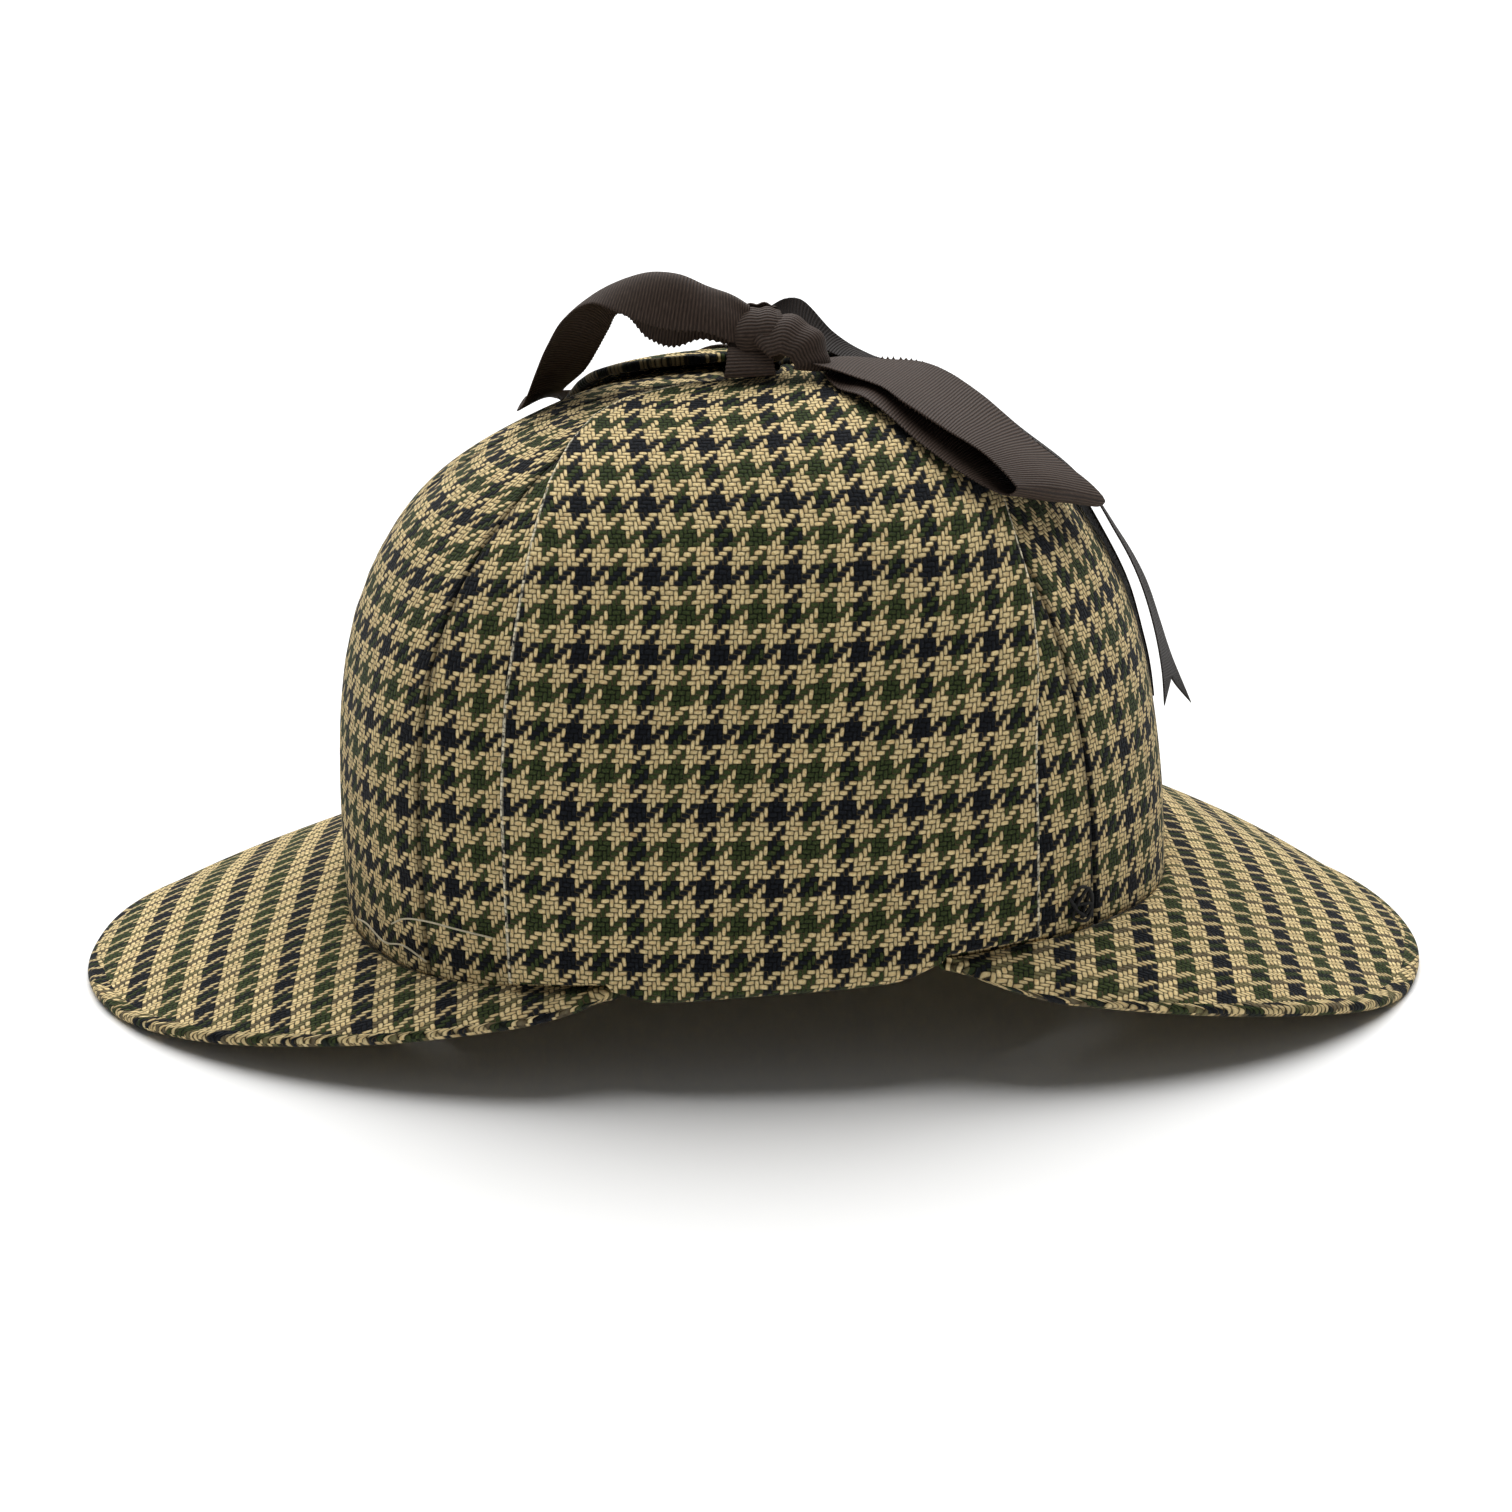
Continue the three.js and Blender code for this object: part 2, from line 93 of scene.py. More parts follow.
# Ribbon lines: near edge x, y, z, then the crest between where it isn't flat, then the far edge.
RIBBONS = {
    "bow_loop_front": [
        [6.5, -15.0, 130.6, 6.4, -11.0, 138.8, 6.9, -2.0, 128.4],
        [2.2, -15.0, 131.8, 2.3, -8.0, 141.4, 2.4, 1.0, 127.9],
        [-4.4, -14.0, 134.4, -3.2, -6.0, 143.5, -4.9, 3.0, 129.7],
        [-12.3, -13.0, 135.3, -9.1, -5.0, 146.3, -12.2, 4.0, 128.0],
        [-18.5, -11.0, 137.0, -15.0, -2.0, 146.8, -18.1, 6.0, 130.2],
        [-24.4, -8.0, 139.3, -20.7, 1.0, 145.4, -22.3, 9.0, 134.8],
        [-30.9, -4.0, 141.1, -27.2, 6.0, 142.3, -25.0, 13.0, 135.2],
        [-37.6, 0.0, 136.6, -33.1, 9.0, 136.7, -27.4, 17.0, 130.8],
        [-42.1, 4.0, 130.0, -38.1, 12.0, 129.4, -30.8, 21.0, 125.3],
        [-45.6, 8.0, 122.9, -41.8, 16.0, 122.0, -34.9, 25.0, 119.4],
        [-49.2, 12.0, 115.7, -44.7, 20.0, 116.2, -39.7, 29.0, 115.0],
        [-51.8, 19.0, 111.9, -46.6, 28.0, 112.6, -42.6, 38.0, 110.8],
        [-50.0, 29.0, 112.9, -45.8, 38.5, 112.2, -43.0, 48.0, 108.4],
        [-43.0, 43.0, 111.2, -40.0, 51.5, 107.2, -37.0, 60.0, 101.1],
        [-34.0, 52.0, 109.2, -30.5, 59.5, 104.0, -27.0, 67.0, 96.9],
        [-24.0, 54.0, 110.6, -20.0, 61.5, 104.6, -16.0, 69.0, 96.5],
        [-12.0, 48.0, 115.7, -8.0, 55.0, 111.1, -4.0, 62.0, 105.0],
        [-3.0, 33.0, 122.1, 1.5, 39.5, 119.8, 6.0, 46.0, 116.7],
        [4.0, 13.0, 125.0, 6.5, 16.5, 125.0, 9.0, 20.0, 124.6],
    ],
    "bow_loop_back": [
        [20.1, -19.0, 126.2, 21.1, -13.0, 125.5, 22.2, -6.0, 124.6],
        [25.9, -22.0, 124.8, 28.2, -12.0, 124.4, 32.0, -2.0, 123.8],
        [34.8, -28.0, 122.2, 39.5, -16.0, 122.2, 45.5, -3.0, 122.6],
        [39.5, -35.0, 119.2, 45.2, -22.0, 119.9, 52.2, -7.0, 120.4],
        [48.1, -43.0, 114.2, 54.1, -30.0, 114.9, 60.7, -14.0, 114.8],
        [56.3, -48.0, 109.2, 63.6, -36.0, 107.8, 71.4, -21.0, 105.3],
        [61.9, -51.0, 103.6, 72.4, -41.0, 100.0, 84.6, -29.0, 94.3],
        [62.9, -51.7, 101.9, 73.6, -42.0, 97.6, 86.2, -30.0, 91.8],
        [61.1, -50.6, 100.2, 71.5, -40.6, 95.9, 84.4, -28.6, 90.6],
        [51.0, -49.0, 105.4, 61.6, -33.0, 105.4, 70.6, -18.0, 103.0],
        [42.4, -43.2, 111.6, 51.0, -27.0, 114.2, 58.7, -11.0, 112.9],
        [36.0, -36.6, 117.0, 43.6, -21.0, 118.9, 51.1, -6.0, 118.0],
        [30.6, -31.0, 120.4, 37.2, -16.0, 121.2, 43.2, -2.0, 120.0],
        [25.6, -25.0, 121.6, 29.3, -12.0, 122.5, 33.1, 0.0, 121.9],
        [22.8, -17.4, 123.9, 24.2, -10.0, 123.4, 25.8, -2.0, 122.9],
    ],
    "ribbon_tail_front": [
        [14.0, 4.5, 126.7, 13.8, 10.5, 126.7], [22.0, 5.5, 126.3, 22.0, 12.0, 126.5],
        [34.0, 1.6, 119.4, 36.0, 12.0, 119.4], [52.0, 2.0, 115.0, 55.0, 15.5, 114.2],
        [70.0, -7.0, 104.0, 73.0, 10.0, 101.0], [84.0, -16.5, 92.6, 87.2, 6.0, 87.6],
        [91.2, -18.0, 80.6, 95.8, 5.5, 74.8], [96.4, -16.8, 68.6, 101.6, 6.4, 62.8],
        [100.4, -15.0, 55.8, 106.2, 8.0, 50.2], [102.6, -13.6, 44.0, 110.0, 9.0, 38.4],
        [103.2, -13.0, 34.0, 114.6, 9.0, 26.4],
    ],
    "ribbon_tail_back": [
        [8.9, 1.0, 127.6, 9.7, 6.0, 131.7, 11.0, 9.0, 135.0],
        [14.2, 1.0, 128.0, 14.9, 6.0, 133.1, 15.7, 9.0, 137.2],
        [17.8, 1.0, 127.8, 18.7, 6.0, 132.8, 19.6, 10.0, 136.6],
        [22.7, 2.5, 125.8, 25.0, 8.0, 127.2, 27.3, 12.0, 127.7],
        [31.2, 5.0, 121.4, 33.6, 12.0, 121.4, 36.1, 19.0, 120.0],
        [46.0, 17.6, 117.0, 48.0, 26.3, 115.0, 50.0, 35.0, 112.2],
        [60.0, 15.4, 110.6, 62.0, 25.7, 107.3, 64.0, 36.0, 102.8],
        [76.0, 10.0, 97.6, 77.6, 21.5, 93.2, 79.0, 33.0, 87.6],
        [88.6, 8.6, 81.4, 89.8, 19.8, 76.6, 90.6, 31.0, 71.0],
        [97.4, 7.8, 63.0, 97.8, 18.5, 58.8, 97.6, 29.2, 54.0],
        [102.4, 7.2, 45.0, 102.4, 17.3, 41.8, 101.8, 27.4, 38.0],
        [104.4, 6.8, 30.0, 104.5, 16.0, 27.2, 104.0, 25.2, 24.0],
    ],
    "left_ribbon_stub": [
        [-0.6, -19.4, 124.3, 11.6, -19.4, 124.3], [0.0, -18.6, 126.8, 11.4, -18.6, 126.6],
        [0.6, -16.4, 129.9, 11.2, -16.2, 129.6], [1.0, -12.5, 131.2, 11.2, -12.5, 131.2],
    ],
    "right_ribbon_stub": [
        [13.2, 19.0, 124.8, 2.6, 19.0, 124.8],
        [12.8, 12.0, 125.9, 2.2, 12.0, 125.9], [12.8, 3.0, 125.6, 2.2, 3.0, 125.6],
    ],
}
STRAW_THREAD, BLACK_THREAD = (0.62, 0.55, 0.38), (0.006, 0.006, 0.006)
THREADS = {  # gore index, colour, radius, then degrees round, degrees up and mm off the crown
    "thread_loose_front": (5, STRAW_THREAD, 0.22, [
        (-143.8, 1.7, 0.5), (-139.0, 2.6, 1.2), (-133.0, 3.0, 1.9), (-127.0, 2.8, 1.7),
        (-121.5, 2.4, 0.9),
    ]),
    "thread_loose_joint": (4, STRAW_THREAD, 0.22, [
        (-158.0, 0.5, 0.6), (-152.0, 0.9, 1.1), (-146.0, 0.5, 1.0), (-140.0, 0.8, 1.3),
        (-135.0, 0.3, 0.8),
    ]),
    "thread_bartack": (6, BLACK_THREAD, 0.42, [
        (-51.6, 1.5, 0.5), (-50.0, 0.6, 1.3), (-47.0, 0.3, 0.6), (-48.0, 1.9, 1.4), (-50.9, 0.4, 0.6),
        (-48.6, 0.2, 1.6), (-46.6, 1.3, 0.5), (-49.6, 2.1, 1.2), (-51.0, 1.1, 0.5), (-47.6, 0.9, 1.5),
        (-49.2, 0.3, 0.9), (-46.9, 1.8, 0.5),
    ]),
}

# ---------------------------------------------------------------- the crown's surface


def signed_power(value, power):
    return np.sign(value) * np.abs(value) ** power


def blend(a, b, share):
    return a + (b - a) * share


def smoothstep(value, low, high):
    t = np.clip((value - low) / (high - low), 0, 1)
    return t * t * (3 - 2 * t)


def unit(vectors):
    return vectors / np.maximum(np.linalg.norm(vectors, axis=-1, keepdims=True), 1e-12)


def crown_point(around, up):
    """Point on the crown's outer face: around from the back to the far side, up from the rim."""
    around, up = np.broadcast_arrays(np.asarray(around, float), np.asarray(up, float))
    height = np.sin(np.maximum(up, 0)) ** (4 / (FRONT_POWER + BACK_POWER))
    at = lambda power: np.maximum(1 - height**power, 0) ** (1 / power)
    share = blend(at(FRONT_POWER), at(BACK_POWER), (1 + np.cos(around)) / 2)
    rim = RIM_SECOND * np.cos(2 * around) + RIM_THIRD * np.cos(3 * around)
    x = HALF_LENGTH * share * signed_power(np.cos(around), 2 / PLAN_POWER)
    sag = SAG_DEPTH * height**3 * np.exp(-(((x - SAG_MIDDLE) / SAG_SPREAD) ** 2))
    return np.stack([
        x,
        HALF_WIDTH * share * signed_power(np.sin(around), 2 / PLAN_POWER),
        height * HEIGHT - sag + rim * (1 - height) ** 2 + np.minimum(up, 0) * 60,
    ], -1)


def crown_normal(around, up):
    low, step = np.maximum(up, 0.02), 1e-3
    across = crown_point(around + step, low) - crown_point(around - step, low)
    along = crown_point(around, low + step) - crown_point(around, low - step)
    return unit(np.cross(across, along))


def around_at(x, up, side):
    """Angle around the crown, on one side of it, of the point at x and up."""
    height = np.sin(np.maximum(up, 0)) ** (4 / (FRONT_POWER + BACK_POWER))
    at = lambda power: np.maximum(1 - height**power, 0) ** (1 / power)
    around = np.full(np.shape(x), side * math.pi / 2)
    for _ in range(10):
        share = blend(at(FRONT_POWER), at(BACK_POWER), (1 + np.cos(around)) / 2)
        cosine = signed_power(np.clip(x / (HALF_LENGTH * share), -1, 1), PLAN_POWER / 2)
        around = side * np.arccos(cosine)
    return around


def settle(points):
    """Tips the hat onto its peaks, and turns millimetres into metres."""
    x, y, z = points[..., 0], points[..., 1], points[..., 2]
    turned_x = x * math.cos(TILT) - z * math.sin(TILT) + CENTRE_X
    turned_z = x * math.sin(TILT) + z * math.cos(TILT) + RIM_HEIGHT
    return np.stack([turned_x, y, np.maximum(turned_z, 0.02)], -1) / 1000


def ripple(points, size, height, seed):
    """Gentle unevenness of cloth over points, as a few random waves about size apart."""
    pick = np.random.default_rng(seed)
    total = np.zeros(points.shape[:-1])
    for _ in range(7):
        direction = unit(pick.normal(size=3)) * 2 * math.pi / (size * pick.uniform(0.6, 1.6))
        total += np.sin(points @ direction + pick.uniform(0, 2 * math.pi))
    return total * height / 2.6


# ---------------------------------------------------------------- sheets as closed meshes


def graded(length, step, radius):
    """Shares along a sheet, closer together at its rounded edges, and its fullness at each."""
    edge = radius * (1 - np.cos(np.radians([0, 20, 42, 66])))
    middle = np.linspace(radius, length - radius, max(int(length / step), 2))
    at = np.concatenate([edge, middle, (length - edge)[::-1]])
    inset = np.clip(np.minimum(at, length - at) / radius, 0, 1)
    return at / length, np.sqrt(np.clip(1 - (1 - inset) ** 2, 0, 1))


def grid_normals(middle, outward):
    return unit(np.cross(np.gradient(middle, axis=1), np.gradient(middle, axis=0))) * outward


def quads(grid):
    """The four corners of each cell of a grid."""
    parts = [grid[:-1, :-1], grid[:-1, 1:], grid[1:, 1:], grid[1:, :-1]]
    return np.stack(parts, 2).reshape(-1, 4, *grid.shape[2:])


def write_borders(piece, middle):
    """Keeps how far each point is from the nearer side and from the top end, for the materials."""
    across, along = lengths(middle, 1), lengths(middle, 0)
    side = np.minimum(across, across[:, -1:] - across)
    for label, distance in (("Side", side), ("Top", along[-1:] - along)):
        both = np.concatenate([distance.ravel(), distance[1:-1, 1:-1].ravel()])
        layer = piece.data.attributes.new(label, "FLOAT", "POINT")
        layer.data.foreach_set("value", both.astype(np.float32))


def pillow(name, middle, half, uv_over, uv_under=None, uv_turn=None, turn=None, outward=1):
    """Closed sheet: its middle surface, pushed out both ways by half, which is 0 at the border.

    The UVs are in millimetres of cloth. Past column turn the underside takes uv_turn.
    """
    rows, columns = half.shape
    half = half.copy()
    half[[0, -1], :] = 0
    half[:, [0, -1]] = 0
    thickness = grid_normals(middle, outward) * half[..., None]
    over, under = middle + thickness, middle - thickness
    index = np.arange(rows * columns).reshape(rows, columns)
    below = index.copy()
    below[1:-1, 1:-1] = rows * columns + np.arange((rows - 2) * (columns - 2)).reshape(rows - 2, -1)
    points = np.concatenate([over.reshape(-1, 3), under[1:-1, 1:-1].reshape(-1, 3)])
    corners_over, corners_under = quads(uv_over), quads(uv_over if uv_under is None else uv_under)
    if turn is not None:
        wraps = np.tile(np.arange(columns - 1) >= turn, rows - 1)
        corners_under = np.where(wraps[:, None, None], quads(uv_turn), corners_under)
    faces = np.concatenate([quads(index), quads(below)[:, ::-1]])
    corners = np.concatenate([corners_over, corners_under[:, ::-1]])
    if outward < 0:
        faces, corners = faces[:, ::-1], corners[:, ::-1]
    piece = mesh_object(name, settle(points), faces, corners)
    write_borders(piece, middle)
    return piece


def mesh_object(name, points, faces, corners):
    """A smooth mesh of equal-sided faces, with the cloth's own UVs at their corners."""
    mesh = bpy.data.meshes.new(name)
    sides = faces.shape[1]
    mesh.vertices.add(len(points))
    mesh.vertices.foreach_set("co", points.astype(np.float32).ravel())
    mesh.loops.add(faces.size)
    mesh.loops.foreach_set("vertex_index", faces.astype(np.int32).ravel())
    mesh.polygons.add(len(faces))
    mesh.polygons.foreach_set("loop_start", np.arange(0, faces.size, sides, dtype=np.int32))
    mesh.polygons.foreach_set("use_smooth", np.ones(len(faces), bool))
    layer = mesh.uv_layers.new(name="Weave")
    layer.uv.foreach_set("vector", corners.astype(np.float32).ravel())
    mesh.update(calc_edges=True)
    mesh.validate()
    made = bpy.data.objects.new(name, mesh)
    bpy.context.scene.collection.objects.link(made)
    return made


def lengths(points, axis):
    """Distance run along an axis of a grid of points, from 0."""
    steps = np.linalg.norm(np.diff(points, axis=axis), axis=-1)
    pad = [(0, 0)] * steps.ndim
    pad[axis] = (1, 0)
    return np.cumsum(np.pad(steps, pad), axis=axis)


def cloth_uv(middle, shift=(0, 0), turn=0, start=0):
    """Flat cloth under a grid: along each row from its middle, and up the middle column from start."""
    across = lengths(middle, 1)
    centre = middle.shape[1] // 2
    across = across - across[:, centre : centre + 1]
    along = np.repeat(lengths(middle, 0)[:, centre : centre + 1], middle.shape[1], 1)
    along = along - along[start, centre]
    c, s = math.cos(math.radians(turn)), math.sin(math.radians(turn))
    flat = np.stack([across * c - along * s, across * s + along * c], -1)
    return flat + np.asarray(shift, float)


def place_piece(piece, node, material):
    piece.data.materials.append(material)
    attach(piece, "root")
    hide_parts(node)


def finish_piece(piece, node, material):
    place_piece(piece, node, material)
    return piece


# ---------------------------------------------------------------- materials


class Graph:
    """A node material, written as short calls that return sockets."""

    def __init__(self, name):
        self.material = bpy.data.materials.new(name)
        self.material.use_nodes = True
        self.tree = self.material.node_tree
        self.shader = self.tree.nodes["Principled BSDF"]

    def put(self, socket, value):
        if isinstance(value, bpy.types.NodeSocket):
            self.tree.links.new(value, socket)
        elif isinstance(value, tuple) and len(value) == 3 and socket.type == "RGBA":
            socket.default_value = (*value, 1)
        else:
            socket.default_value = value

    def node(self, kind, inputs=(), **settings):
        node = self.tree.nodes.new(kind)
        for key, value in settings.items():
            setattr(node, key, value)
        for key, value in dict(inputs).items():
            self.put(node.inputs[key], value)
        return node

    def math(self, operation, *values):
        node = self.node("ShaderNodeMath", operation=operation)
        for i, value in enumerate(values):
            self.put(node.inputs[i], value)
        return node.outputs[0]

    def mix(self, share, a, b, mode="MIX"):
        node = self.node("ShaderNodeMix", data_type="RGBA", blend_type=mode)
        for key, value in ((0, share), (6, a), (7, b)):
            self.put(node.inputs[key], value)
        return node.outputs[2]

    def vector(self, x, y, z=0.0):
        return self.node("ShaderNodeCombineXYZ", {0: x, 1: y, 2: z}).outputs[0]

    def noise(self, vector, scale, detail=2.0):
        inputs = {"Vector": vector, "Scale": scale, "Detail": detail}
        return self.node("ShaderNodeTexNoise", inputs).outputs[0]

    def grey(self, value):
        return self.node("ShaderNodeCombineColor", {0: value, 1: value, 2: value}).outputs[0]

    def random(self, *values):
        """A random number for each whole-numbered cell."""
        inputs = {"Vector": self.vector(*values)}
        return self.node("ShaderNodeTexWhiteNoise", inputs, noise_dimensions="3D").outputs[0]

    def between(self, value, low, high):
        """Stretches 0..1 over low..high."""
        return self.math("MULTIPLY_ADD", value, high - low, low)

    def ramp(self, value, low, high):
        """0 below low and 1 above high, smoothly."""
        inputs = {"Value": value, "From Min": low, "From Max": high}
        return self.node("ShaderNodeMapRange", inputs, interpolation_type="SMOOTHSTEP").outputs[0]

    def cloth_coordinates(self):
        uv = self.node("ShaderNodeUVMap", uv_map="Weave").outputs[0]
        split = self.node("ShaderNodeSeparateXYZ", {0: uv})
        return uv, split.outputs[0], split.outputs[1]

    def bump(self, height, distance):
        return self.node("ShaderNodeBump", {"Height": height, "Distance": distance}).outputs[0]


BEIGE, STRAW, RUST = (0.60, 0.45, 0.215), (0.74, 0.61, 0.34), (0.47, 0.285, 0.12)
NAVY, INK = (0.0080, 0.0095, 0.0125), (0.024, 0.027, 0.032)
GREEN, MOSS = (0.029, 0.043, 0.015), (0.064, 0.076, 0.027)


def distance_to(g, border):
    """Millimetres of cloth from a border of the piece: its Side or its Top."""
    return g.node("ShaderNodeAttribute", attribute_name=border).outputs["Fac"]


def thread_colour(g, index, along, across, seed):
    """Colour of the yarn at a thread number: four beige, four navy, four beige, four green."""
    block = g.math("FLOORED_MODULO", g.math("FLOOR", g.math("DIVIDE", index, 4.0)), 4.0)
    dark = g.math("FLOORED_MODULO", block, 2.0)
    green = g.math("GREATER_THAN", block, 2.5)
    fibre = g.noise(g.vector(g.math("MULTIPLY", along, 1.1), across, seed), 2.2, 3.0)
    yarn = g.random(index, seed, 0.0)
    stretched = g.vector(g.math("MULTIPLY", along, 0.5), g.math("MULTIPLY", across, 1.4), seed + 9)
    fleck = g.noise(stretched, 0.9, 1.0)
    beige = g.mix(g.ramp(fibre, 0.35, 0.7), BEIGE, STRAW)
    beige = g.mix(g.math("MULTIPLY", g.ramp(fleck, 0.55, 0.75), 0.55), beige, RUST)
    navy = g.mix(g.ramp(fibre, 0.5, 0.8), NAVY, INK)
    moss = g.mix(g.ramp(fibre, 0.4, 0.75), GREEN, MOSS)
    colour = g.mix(dark, beige, g.mix(green, navy, moss))
    return g.mix(1.0, colour, g.grey(g.between(yarn, 0.86, 1.1)), "MULTIPLY")


def float_height(g, along, crossing, shift, share):
    """Height of a float: arched over its two crossings, and round across."""
    run = g.math("ADD", g.math("SUBTRACT", along, crossing), shift)
    arch = g.math("SINE", g.math("MULTIPLY", g.math("FLOORED_MODULO", run, 4.0), math.pi / 2))
    arch = g.math("POWER", g.math("MAXIMUM", arch, 0.0), 0.45)
    across = g.math("SINE", g.math("MULTIPLY", g.math("FRACT", share), math.pi))
    across = g.math("POWER", g.math("MAXIMUM", across, 0.0), 0.6)
    return g.math("MULTIPLY", arch, across)


def twill(g, u, v, warp_face):
    """Height and colour of two-by-two twill, its yarns ordered so that they make houndstooth."""
    warps, wefts = g.math("DIVIDE", u, WARP_PITCH), g.math("DIVIDE", v, WEFT_PITCH)
    i, j = g.math("FLOOR", warps), g.math("FLOOR", wefts)
    step = g.math("FLOORED_MODULO", g.math("ADD", g.math("SUBTRACT", j, i), 2.0), 4.0)
    weft_on_top = g.math("GREATER_THAN", step, 1.5)
    warp_height = float_height(g, wefts, i, -2.0, warps)
    weft_height = float_height(g, warps, j, 1.0, wefts)
    above = g.math("SUBTRACT", weft_height, warp_height)
    height = g.math("MULTIPLY_ADD", weft_on_top, above, warp_height)
    warp_colour = thread_colour(g, i, v, u, 1.0)
    weft_colour = thread_colour(g, j, u, v, 5.0)
    over = g.mix(g.math("MULTIPLY", weft_on_top, 1 - warp_face), warp_colour, weft_colour)
    under = g.mix(weft_on_top, weft_colour, warp_colour)
    # Painted shade: the gaps between floats show the crossing yarn darkened by 0.72 towards black, as
    # the shade between the yarns.
    gap = g.mix(0.72, under, (0.0, 0.0, 0.0))
    return height, g.mix(g.ramp(height, 0.10, 0.60), gap, over)


def tweed_material(name, seam_shade=0.0, binding=0.0, painted_tip_shade=0.0, warp_face=0.0):
    """Hairy tweed in a houndstooth of beige, navy and green.

    seam_shade paints shade into the seams along the sides, binding lays a light thread along them,
    painted_tip_shade paints shade along the sides near the top, and warp_face is how far the warps
    crowd over the wefts. The low parts of the weave and the gaps between floats are painted darker
    as shade.
    """
    g = Graph(name)
    uv, u, v = g.cloth_coordinates()
    wander = g.node("ShaderNodeTexNoise", {"Vector": uv, "Scale": 0.16, "Detail": 2.0})
    drift = g.node("ShaderNodeSeparateColor", {0: wander.outputs["Color"]})
    u = g.math("ADD", u, g.between(drift.outputs[0], -0.55, 0.55))
    v = g.math("ADD", v, g.between(drift.outputs[1], -0.55, 0.55))
    height, colour = twill(g, u, v, warp_face)
    twist = g.noise(g.vector(g.math("ADD", u, v), g.math("SUBTRACT", u, v), 3.0), 3.2, 2.0)
    fuzz = g.noise(uv, 5.5, 3.0)
    rough = g.math("ADD", g.math("MULTIPLY", twist, 0.35), g.math("MULTIPLY", fuzz, 0.35))
    # Painted shade: the low parts of the weave are coloured darker, down to 0.34, as the shade between
    # the yarns.
    painted_thread_shade = g.between(g.ramp(height, 0.0, 0.9), 0.34, 1.12)
    wear = g.between(g.noise(uv, 0.035, 2.0), 0.93, 1.07)
    tone = g.math("MULTIPLY", painted_thread_shade, wear)
    if binding:
        on_edge = g.between(g.ramp(distance_to(g, "Side"), 0.7, 1.3), 1.0, 0.0)
        shown = g.math("MULTIPLY", on_edge, g.ramp(g.noise(uv, 0.5, 2.0), 0.36, 0.52))
        colour = g.mix(g.math("MULTIPLY", shown, binding), colour, (0.75, 0.68, 0.50))
    if seam_shade:
        # Painted shade: the cloth within a few millimetres of each side is darkened, as the shade in
        # the seams.
        seam_shade_tone = g.between(g.ramp(distance_to(g, "Side"), 0.3, 2.6), 1 - seam_shade, 1.0)
        tone = g.math("MULTIPLY", tone, seam_shade_tone)
    if painted_tip_shade:
        # Painted shade: near the top, the cloth beside each side is darkened, as the shade on the far
        # flap.
        off_edge = g.ramp(distance_to(g, "Side"), 1.8, 4.0)
        unshaded = g.math("MAXIMUM", off_edge, g.ramp(distance_to(g, "Top"), 60.0, 80.0))
        tone = g.math("MULTIPLY", tone, g.between(unshaded, 1 - painted_tip_shade, 1.0))
    g.put(g.shader.inputs["Base Color"], g.mix(1.0, colour, g.grey(tone), "MULTIPLY"))
    g.put(g.shader.inputs["Roughness"], g.between(fuzz, 0.82, 0.98))
    g.put(g.shader.inputs["Normal"], g.bump(g.math("ADD", height, rough), 0.00022))
    g.shader.inputs["Specular IOR Level"].default_value = 0.05
    g.shader.inputs["Sheen Weight"].default_value = 0.07
    g.shader.inputs["Sheen Roughness"].default_value = 0.5
    return g.material


def ribbon_material(name, painted_shade_scale=1.0):
    """Dark brown ribbed ribbon with a dull gloss on its ribs, painted darker between its ribs as shade,
    its tone scaled down by painted_shade_scale as painted shade.
    """
    g = Graph(name)
    uv, u, v = g.cloth_coordinates()
    waver = g.between(g.noise(uv, 0.12, 1.0), -0.15, 0.15)
    rib = g.math("SINE", g.math("MULTIPLY", g.math("ADD", v, waver), 2 * math.pi / RIB_PITCH))
    rib = g.between(rib, 0.5, 1.0)
    thread = g.noise(g.vector(g.math("MULTIPLY", u, 0.35), g.math("MULTIPLY", v, 2.6), 0.0), 3.0, 2.0)
    grain = g.noise(uv, 4.0, 2.0)
    mark = g.noise(uv, 0.06, 2.0)
    colour = g.mix(g.ramp(thread, 0.35, 0.7), (0.040, 0.0255, 0.0185), (0.080, 0.054, 0.041))
    colour = g.mix(g.math("MULTIPLY", g.ramp(grain, 0.62, 0.78), 0.5), colour, (0.085, 0.066, 0.054))
    # Painted shade: the grooves between the ribs are coloured darker, and the whole tone is scaled down
    # by the painted shade factor.
    tone = g.math("MULTIPLY", g.between(rib, 0.4 * painted_shade_scale, 1.1 * painted_shade_scale), g.between(mark, 0.85, 1.15))
    g.put(g.shader.inputs["Base Color"], g.mix(1.0, colour, g.grey(tone), "MULTIPLY"))
    g.put(g.shader.inputs["Roughness"], g.between(thread, 0.55, 0.78))
    height = g.math("ADD", rib, g.math("MULTIPLY", grain, 0.5))
    g.put(g.shader.inputs["Normal"], g.bump(height, 0.00014))
    g.shader.inputs["Specular IOR Level"].default_value = 0.16
    return g.material


def thread_material(name, colour):
    """Matt twisted sewing thread."""
    g = Graph(name)
    uv, u, v = g.cloth_coordinates()
    strand = g.noise(g.vector(g.math("ADD", u, v), g.math("SUBTRACT", u, v), 0.0), 2.4, 1.0)
    g.put(g.shader.inputs["Base Color"], g.mix(strand, tuple(0.6 * c for c in colour), colour))
    g.put(g.shader.inputs["Roughness"], g.between(strand, 0.7, 0.9))
    g.put(g.shader.inputs["Normal"], g.bump(strand, 0.0001))
    return g.material


RIBBON = ribbon_material("ribbon")
# A copy of the ribbon with painted shade: its colour is scaled down to 0.3 for the two tails, which
# hang in shade.
SHADED_RIBBON = ribbon_material("ribbon_shaded", painted_shade_scale=0.3)
PEAK_TWEED = tweed_material("tweed_peak", warp_face=0.2)
# The gores' tweed, with painted shade in its seams.
GORE_TWEED = tweed_material("tweed_gore", seam_shade=0.6)
FLAP_TWEED = tweed_material("tweed_flap", binding=0.9)
# The far flap's tweed: the same cloth with painted shade along its sides near the top.
FAR_FLAP_TWEED = tweed_material("tweed_far_flap", painted_tip_shade=0.88)

# ---------------------------------------------------------------- crown


